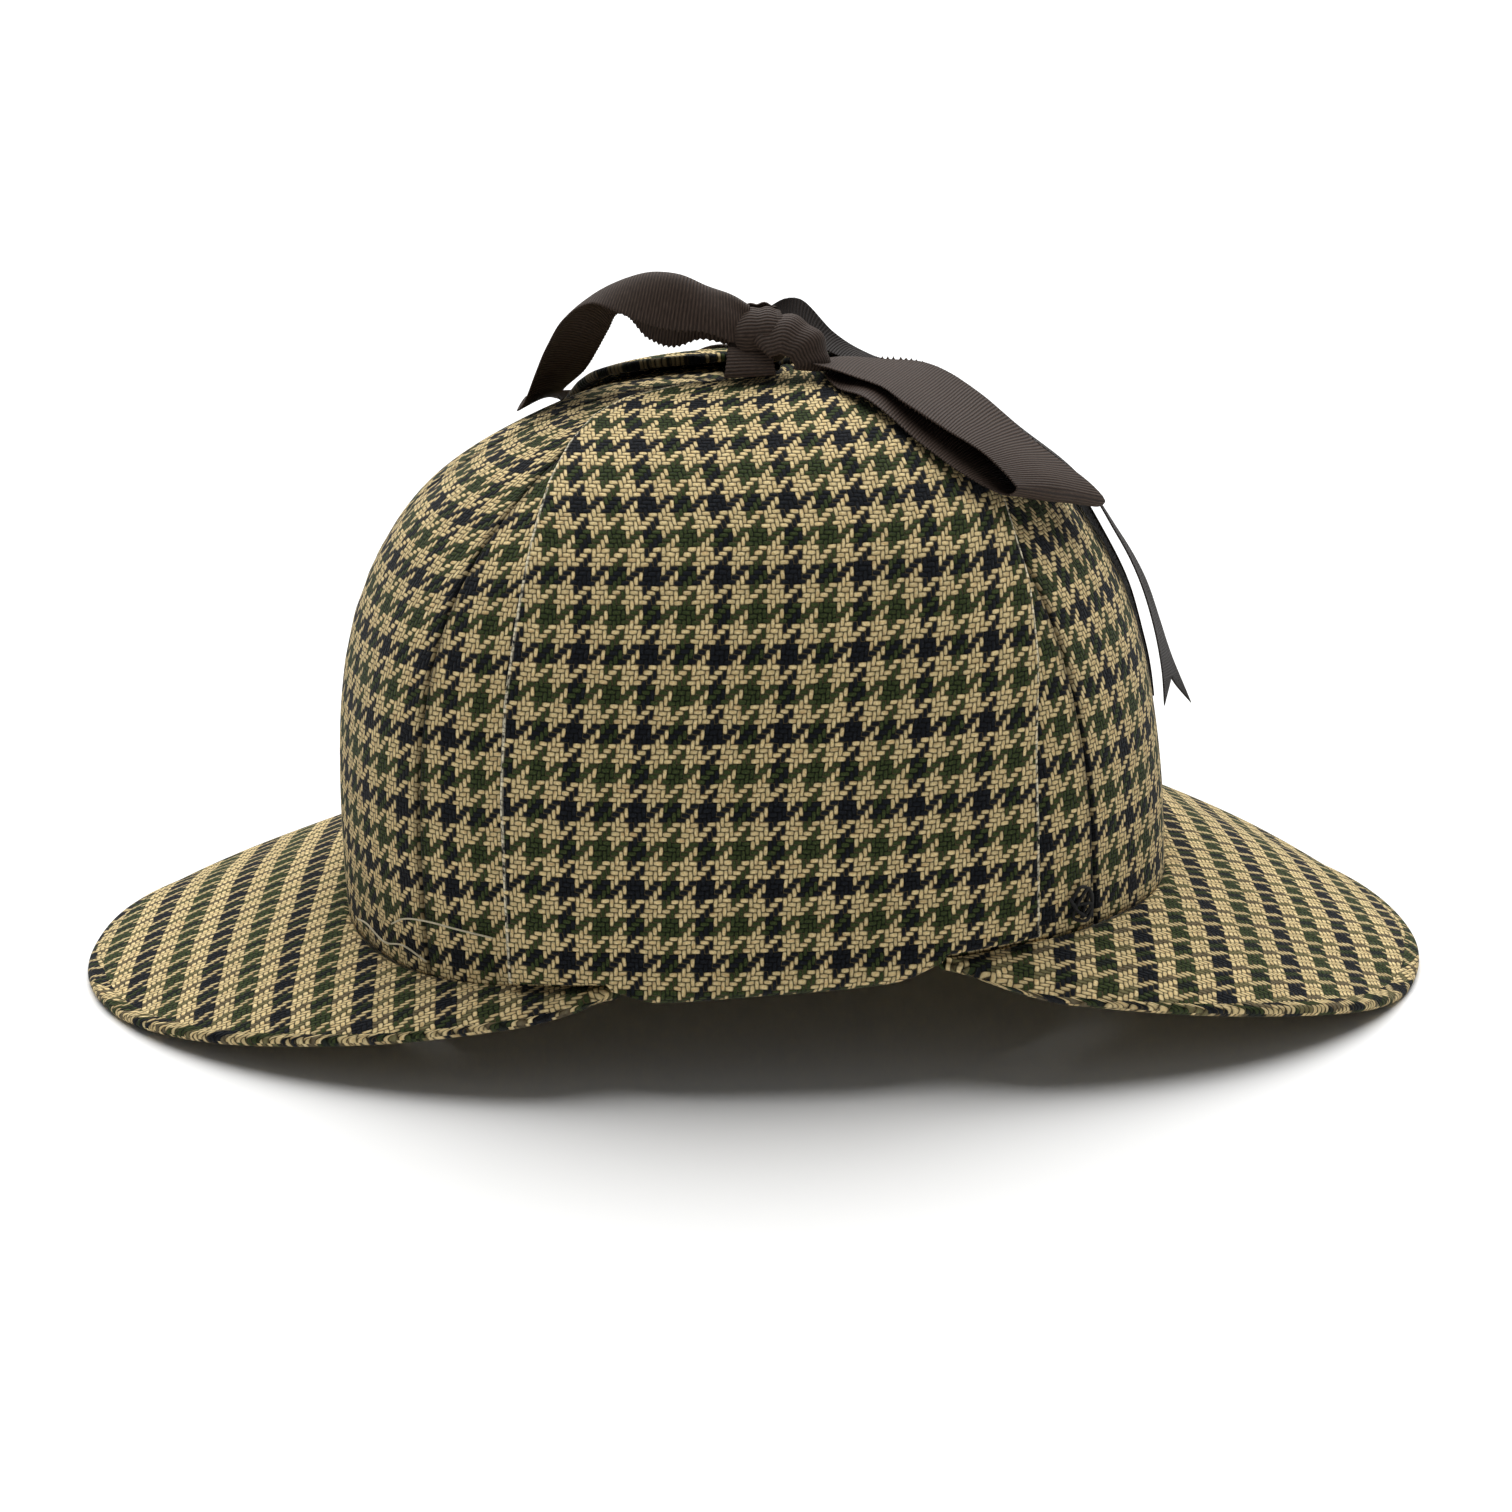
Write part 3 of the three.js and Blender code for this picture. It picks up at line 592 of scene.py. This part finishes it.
def make_gore(index):
    """One wedge of the crown, with its edges turned down into the seams."""
    pitch = 2 * math.pi / GORES
    length, width = GORE_GRID[0][0], GORE_GRID[1][0]
    rows, row_full = graded(*GORE_GRID[0])
    columns, column_full = graded(*GORE_GRID[1])
    up = blend(-0.027, math.radians(89.6), rows)[:, None]
    around = pitch * (index + columns)[None, :] + 0 * up
    outer = crown_point(around, up)
    normals = crown_normal(around, up)
    middle = outer - normals * GORE_CLOTH / 2
    to_seam = np.minimum(columns, 1 - columns) * width
    near_seam = np.exp(-(((to_seam - PUCKER_PLACE) / PUCKER_WIDTH) ** 2))[None, :]
    wave = np.sin(rows * length * math.pi / PUCKER_PITCH + index)[:, None]
    puckers = PUCKER_HEIGHT * wave * near_seam
    lift = ripple(outer, size=55, height=0.45, seed=3) + puckers
    middle = middle + normals * lift[..., None]
    uv = cloth_uv(middle, shift=(3.1 * index, 0))
    half = GORE_CLOTH / 2 * row_full[:, None] * column_full[None, :]
    node = f"crown_gore_{index + 1}"
    piece = pillow(f"tweed_gore_{index + 1}", middle, half, uv)
    here = {name: row[1:] for name, row in THREADS.items() if row[0] == index}
    threads = [make_thread(name, node, *row) for name, row in here.items()]
    return finish_piece(piece, node, GORE_TWEED)


def make_thread(name, node, colour, radius, stops):
    """A sewing thread along stops: degrees round, degrees up, and mm off the crown."""
    around, up, away = np.array(stops, float).T
    points = crown_point(np.radians(around), np.radians(up))
    points = points + crown_normal(np.radians(around), np.radians(up)) * away[:, None]
    line = smooth_line(points, np.linspace(0, len(points) - 1, 24 * len(points)))
    outwards = unit(line * [1, 1, 0])
    across = unit(np.cross(np.gradient(line, axis=0), outwards))
    shares = np.linspace(-1, 1, 7)
    middle = line[:, None] + across[:, None] * (shares * radius)[None, :, None]
    ends = np.minimum(1, np.minimum(np.arange(len(line)), np.arange(len(line))[::-1]) / 3)
    half = radius * ends[:, None] * np.sqrt(np.clip(1 - shares**2, 0, 1))[None, :]
    piece = pillow(name, middle, half, cloth_uv(middle))
    place_piece(piece, node, thread_material(name, colour))
    return piece


# ---------------------------------------------------------------- peaks


def peak_edge(size, angle):
    """Middle of a peak's outer edge, which lies on the floor around the peak's own middle."""
    power = 2 / PEAK_POWER
    past = (size["reach"] - size["broadest"]) * signed_power(np.cos(angle), power)
    x = size["side"] * (size["broadest"] + past)
    y = size["half"] * signed_power(np.sin(angle), power)
    surface = (-RIM_HEIGHT - x * math.sin(TILT)) / math.cos(TILT)
    flat = math.radians(PEAK_FLAT)
    turned = np.maximum(np.abs(angle) - flat, 0) / (math.pi / 2 - flat)
    low = surface + PEAK_CLOTH / 2 - FACET_SINK
    return np.stack([x, y, blend(low, size["end_z"], turned**1.2)], -1)


def peak_span(size, sweep):
    """The line where a peak leaves the crown, and the line of its outer edge."""
    around = math.radians(size["rim"]) * sweep
    rim_angle = around if size["side"] > 0 else math.pi - around
    inner = crown_point(rim_angle, 0) + crown_normal(rim_angle, 0) * 0.1
    closing = np.maximum(np.abs(sweep) - PEAK_END, 0) / (1 - PEAK_END)
    reach = blend(0.3, 1, np.sqrt(np.clip(1 - closing**2, 0, 1)))
    edge = inner + (peak_edge(size, math.radians(size["edge"]) * sweep) - inner) * reach[:, None]
    return inner, edge + unit(edge - inner) * PEAK_CLOTH / 2


def peak_weave(inner, edge, run, shares):
    """Flat cloth of a peak: its top, its underside, and the part that wraps round the edge."""
    level_out = unit((edge - inner) * [1, 1, 0])[:, None, :2]
    start, run = inner[:, None, :2], run[..., None]
    round_off = (math.pi / 2 - 1) * PEAK_CLOTH / 2
    flat = start + level_out * run
    over = start + level_out * (run + round_off * (shares[None, :, None] > 0.97))
    wrap = start + level_out * (2 * (run[:, -1:] + round_off) - run)
    return over, flat, wrap


def make_peak(name, size):
    sweeps, sweep_full = graded(*PEAK_GRID[0])
    shares, share_full = graded(*PEAK_GRID[1])
    inner, edge = peak_span(size, sweeps * 2 - 1)
    middle = inner[:, None] + (edge - inner)[:, None] * shares[None, :, None]
    middle[..., 2] += PEAK_RISE * 4 * shares * (1 - shares) - PEAK_CLOTH / 2 * (1 - shares)
    over, flat, wrap = peak_weave(inner, edge, lengths(middle, 1), shares)
    middle[..., 2] += ripple(middle, size=60, height=0.35, seed=11)
    seam_side = slice(0, len(shares) // 2)
    share_full[seam_side] = np.maximum(share_full[seam_side], PEAK_SEAM)
    half = PEAK_CLOTH / 2 * sweep_full[:, None] * share_full[None, :]
    turn = int(np.searchsorted(shares, PEAK_WRAP))
    weave = [grid * PEAK_WEAVE for grid in (over, flat, wrap)]
    piece = pillow(f"tweed_{name}", middle, half, *weave, turn, outward=-size["side"])
    return finish_piece(piece, name, PEAK_TWEED)


# ---------------------------------------------------------------- ear flaps


def flap_middle(share, row, side):
    """The flap's middle surface: a row under 0 rounds the fold and passes under the rim."""
    front = np.interp(row, FLAP_ROWS[:, 0], FLAP_ROWS[:, 1])
    back = np.interp(row, FLAP_ROWS[:, 0], FLAP_ROWS[:, 2])
    up = np.radians(np.maximum(row, 0))
    around = around_at(blend(front, back, share), up, side)
    snug = CROWN_GAP + FLAP_CLOTH / 2
    tip = FAR_TIP * smoothstep(row, 60, 80) if side > 0 else 0
    turn = np.radians(np.minimum(row, 0) * 9)
    away = snug + tip + FOLD_LIFT * np.exp(-np.maximum(row, 0) / 6) - FOLD_RADIUS * (1 - np.cos(turn))
    point = crown_point(around, up) + crown_normal(around, up) * away[..., None]
    point[..., 2] += FOLD_RADIUS * np.sin(turn) - (1 - np.cos(turn)) * 0.6
    return point


def flap_levels(rows, columns):
    """Degrees up the crown at each grid point: only the flap's middle goes on under the rim."""
    past_root = smoothstep(np.abs(columns - 0.5) * 2, FLAP_ROOT, FLAP_ROOT + 0.28)
    start = blend(FLAP_LOW, 0.15, past_root)[None, :]
    share = rows[:, None]
    low = blend(start, FLAP_CLEAR, np.minimum(share / FLAP_FOLD, 1))
    high = blend(FLAP_CLEAR, FLAP_TOP, (share - FLAP_FOLD) / (1 - FLAP_FOLD))
    return np.where(share < FLAP_FOLD, low, high)


def flap_uv(level, columns, side):
    """Flat cloth of a flap, measured on a grid of even rows, at the levels of its own rows."""
    even = np.linspace(FLAP_LOW, FLAP_TOP, 240)
    plain = flap_middle(columns[None, :] + 0 * even[:, None], even[:, None] + 0 * columns, side)
    cloth = cloth_uv(plain, FLAP_SHIFT, FLAP_TURN * side, int(np.searchsorted(even, 0)))
    at = lambda column, axis: np.interp(level[:, column], even, cloth[:, column, axis])
    return np.stack([
        np.stack([at(column, axis) for column in range(len(columns))], 1) for axis in range(2)
    ], -1)


def make_flap(name, node, side):
    rows, row_full = graded(*FLAP_GRID[0])
    columns, column_full = graded(*FLAP_GRID[1])
    level = flap_levels(rows, columns)
    middle = flap_middle(columns[None, :] + 0 * level, level, side)
    uv = flap_uv(level, columns, side)
    lift = np.maximum(ripple(middle, size=48, height=0.3, seed=21), -0.3)
    middle = middle + grid_normals(middle, -side) * lift[..., None]
    half = FLAP_CLOTH / 2 * row_full[:, None] * column_full[None, :]
    piece = pillow(name, middle, half, uv, outward=-side)
    # The far flap takes the copy of the tweed with painted shade.
    material = FAR_FLAP_TWEED if side > 0 else FLAP_TWEED
    return finish_piece(piece, node, material)


# ---------------------------------------------------------------- ribbon


def smooth_line(points, at):
    """Centripetal curve through points, at positions counted in points."""
    before, after = 2 * points[0] - points[1], 2 * points[-1] - points[-2]
    p = np.concatenate([[before], points, [after]])
    segment = np.clip(at.astype(int), 0, len(points) - 2)
    t = (at - segment)[:, None]
    a, b, c, d = (p[segment + k] for k in range(4))
    gap = lambda m, n: np.sqrt(np.linalg.norm(n - m, axis=-1, keepdims=True))
    d0, d1, d2 = gap(a, b), gap(b, c), gap(c, d)
    go = ((b - a) / d0 - (c - a) / (d0 + d1) + (c - b) / d1) * d1
    come = ((c - b) / d1 - (d - b) / (d1 + d2) + (d - c) / d2) * d1
    return b + go * t + (-3 * b + 3 * c - 2 * go - come) * t**2 + (2 * b - 2 * c + go + come) * t**3


def ribbon_lines(rows):
    """Near, crest and far lines of a ribbon, as evenly spaced points along its crest."""
    rows = np.array(rows).reshape(len(rows), -1, 3)
    if rows.shape[1] == 2:
        rows = np.stack([rows[:, 0], rows.mean(1), rows[:, 1]], 1)
    lines = lambda at: [smooth_line(rows[:, k], at) for k in range(3)]
    at = np.linspace(0, len(rows) - 1, 600)
    run = lengths(lines(at)[1], 0)
    return lines(np.interp(np.arange(0, run[-1], RIBBON_STEPS[0]), run, at))


def toothed(shares, tooth):
    """Shares across a ribbon, with the two points at each edge moved out and in by tooth."""
    first, last = np.arange(len(shares)) < 2, np.arange(len(shares)) > len(shares) - 3
    return shares + first * -tooth + last * tooth


def ribbon_middle(lines, s):
    """The surface that passes through a ribbon's three lines, at shares s across it."""
    near, crest, far = (line[:, None] for line in lines)
    s = s[..., None]
    return near * (1 - s) * (1 - 2 * s) + crest * 4 * s * (1 - s) + far * s * (2 * s - 1)


def make_ribbon(name, node, material, teeth=0.14, fork=0.0, pleat=0.0):
    """A length of ribbon along its edge and crest lines, with fine teeth along both edges.

    fork is how deep its end is notched, and pleat how high it is gathered at its start.
    """
    near, crest, far = lines = ribbon_lines(RIBBONS[node])
    length = lengths(crest, 0)[:, None]
    width = (np.linalg.norm(crest - near, axis=1) + np.linalg.norm(far - crest, axis=1)).mean()
    shares, full = graded(width, RIBBON_STEPS[1], RIBBON_ROUND)
    tooth = teeth / width * (np.abs((length / TOOTH_PITCH) % 1 - 0.5) * 4 - 1)
    middle = ribbon_middle(lines, toothed(shares, tooth))
    if fork:
        notch = fork * (1 - np.abs(shares * 2 - 1)) ** 0.8
        cut = np.clip((length - (length[-1] - fork)) / fork, 0, 1) * notch
        middle = middle - unit(np.gradient(middle, axis=0)) * cut[..., None]
    wave = pleat * np.sin(shares * 6 * math.pi) * np.exp(-((length / 9) ** 2))
    lift = wave + ripple(middle, size=26, height=0.25, seed=31)
    middle = middle + grid_normals(middle, 1) * lift[..., None]
    uv = np.stack([(shares - 0.5) * width + 0 * length, length + 0 * shares], -1)
    row_full = np.clip(np.minimum(length, length[-1] - length) / RIBBON_STEPS[0], 0, 1)
    piece = pillow(name, middle, RIBBON_CLOTH / 2 * row_full * full, uv)
    return finish_piece(piece, node, material)


def knot_piece(name, middle, shares, full, width, outward):
    """A fold of the knot, made of ribbon as wide as width."""
    length = lengths(middle, 0)[:, len(shares) // 2, None]
    uv = np.stack([shares * width + 0 * length, length + 0 * shares], -1)
    row_full = np.clip(np.minimum(length, length[-1] - length) / 0.6, 0, 1)
    piece = pillow(name, middle, KNOT_CLOTH / 2 * row_full * full, uv, outward=outward)
    return finish_piece(piece, "bow_knot", RIBBON)


def make_wrap():
    """The ribbon drawn tight round the middle of the bow."""
    angle = np.radians(np.linspace(-165, 165, 120))[:, None]
    shares, full = graded(WRAP_WIDTH, 0.6, 0.7)
    belly = 0.86 + 0.14 * np.sin(math.pi * shares)
    fold = 0.3 * np.sin(shares * 5 * math.pi + 1.2 * angle)
    middle = WRAP_CENTRE + np.stack([
        (shares * 2 - 1) * WRAP_HALF[0] * (1.15 - 0.25 * np.cos(angle - 1.6)),
        (WRAP_HALF[1] * belly + fold) * np.sin(angle),
        -(WRAP_HALF[2] * belly + fold) * np.cos(angle),
    ], -1)
    return knot_piece("ribbon_knot_wrap", middle, shares, full, WRAP_WIDTH, -1)


def make_curl():
    """The gathered ribbon that swells out beside the wrap, its ribs fanned in arcs."""
    lean = np.radians(np.linspace(16, 118, 110))[:, None]
    shares, full = graded(CURL_WIDTH, 0.6, 0.7)
    turn = np.radians(blend(-14, 132, shares))
    swell = 1 + 0.035 * np.sin(turn * 9 + lean * 2)
    reach = CURL_RADIUS * np.sin(lean) * swell
    middle = CURL_CENTRE + np.stack([
        reach * np.cos(turn), -CURL_DEPTH * np.cos(lean) + 0 * turn, reach * np.sin(turn) * 0.92,
    ], -1)
    return knot_piece("ribbon_knot_curl", middle, shares, full, CURL_WIDTH, 1)


# ---------------------------------------------------------------- the stage


def make_stage():
    bpy.ops.mesh.primitive_plane_add(size=24, location=(0, 0, -0.00005))
    floor = bpy.context.object
    floor.name = "floor"
    g = Graph("floor")
    g.put(g.shader.inputs["Base Color"], (0.86, 0.86, 0.855))
    mottle = g.noise(g.node("ShaderNodeTexCoord").outputs["Object"], 3.0)
    g.put(g.shader.inputs["Roughness"], g.between(mottle, 0.7, 0.8))
    floor.data.materials.append(g.material)


def make_sun(name, source, strength, spread):
    """A soft light from a far place, in the direction of source."""
    data = bpy.data.lights.new(name, "SUN")
    data.energy, data.angle = strength, math.radians(spread)
    light = bpy.data.objects.new(name, data)
    light.rotation_mode = "QUATERNION"
    light.rotation_quaternion = Vector(source).to_track_quat("Z", "Y")
    bpy.context.scene.collection.objects.link(light)


def make_world():
    world = bpy.data.worlds.new("studio")
    world.use_nodes = True
    sky = world.node_tree.nodes["Background"]
    sky.inputs["Color"].default_value = (1, 1, 1, 1)
    sky.inputs["Strength"].default_value = SKY_STRENGTH
    bpy.context.scene.world = world
    bpy.context.scene.view_settings.view_transform = "Standard"


def make_camera():
    yaw, pitch, roll = (math.radians(angle) for angle in CAMERA_TURN)
    level_ahead = Vector((-math.sin(yaw), math.cos(yaw), 0))
    ahead = level_ahead * math.cos(pitch) - Vector((0, 0, math.sin(pitch)))
    level = Vector((math.cos(yaw), math.sin(yaw), 0))
    upward = level.cross(ahead)
    right = level * math.cos(roll) + upward * math.sin(roll)
    over = upward * math.cos(roll) - level * math.sin(roll)
    data = bpy.data.cameras.new("camera")
    data.sensor_width, data.lens = 36, CAMERA_LENS
    camera = bpy.data.objects.new("camera", data)
    turn = Matrix((right, over, -ahead)).transposed()
    camera.matrix_world = Matrix.Translation(CAMERA_PLACE) @ turn.to_4x4()
    bpy.context.scene.collection.objects.link(camera)
    bpy.context.scene.camera = camera


for index in range(GORES):
    make_gore(index)
for name, size in PEAKS.items():
    make_peak(name, size)
make_flap("tweed_left_flap", "left_ear_flap", -1)
make_flap("tweed_right_flap", "right_ear_flap", 1)
make_ribbon("ribbon_loop_front", "bow_loop_front", RIBBON, pleat=0.5)
make_ribbon("ribbon_loop_back", "bow_loop_back", RIBBON, teeth=0.25)
# The two tails take the ribbon copy with painted shade.
make_ribbon("ribbon_front_tail", "ribbon_tail_front", SHADED_RIBBON, fork=FORK)
make_ribbon("ribbon_back_tail", "ribbon_tail_back", SHADED_RIBBON)
make_ribbon("ribbon_left_stub", "left_ribbon_stub", RIBBON)
make_ribbon("ribbon_right_stub", "right_ribbon_stub", RIBBON)
make_wrap()
make_curl()
make_stage()
make_world()
make_sun("key", SUN_SOURCE, SUN_STRENGTH, SUN_SPREAD)
make_camera()
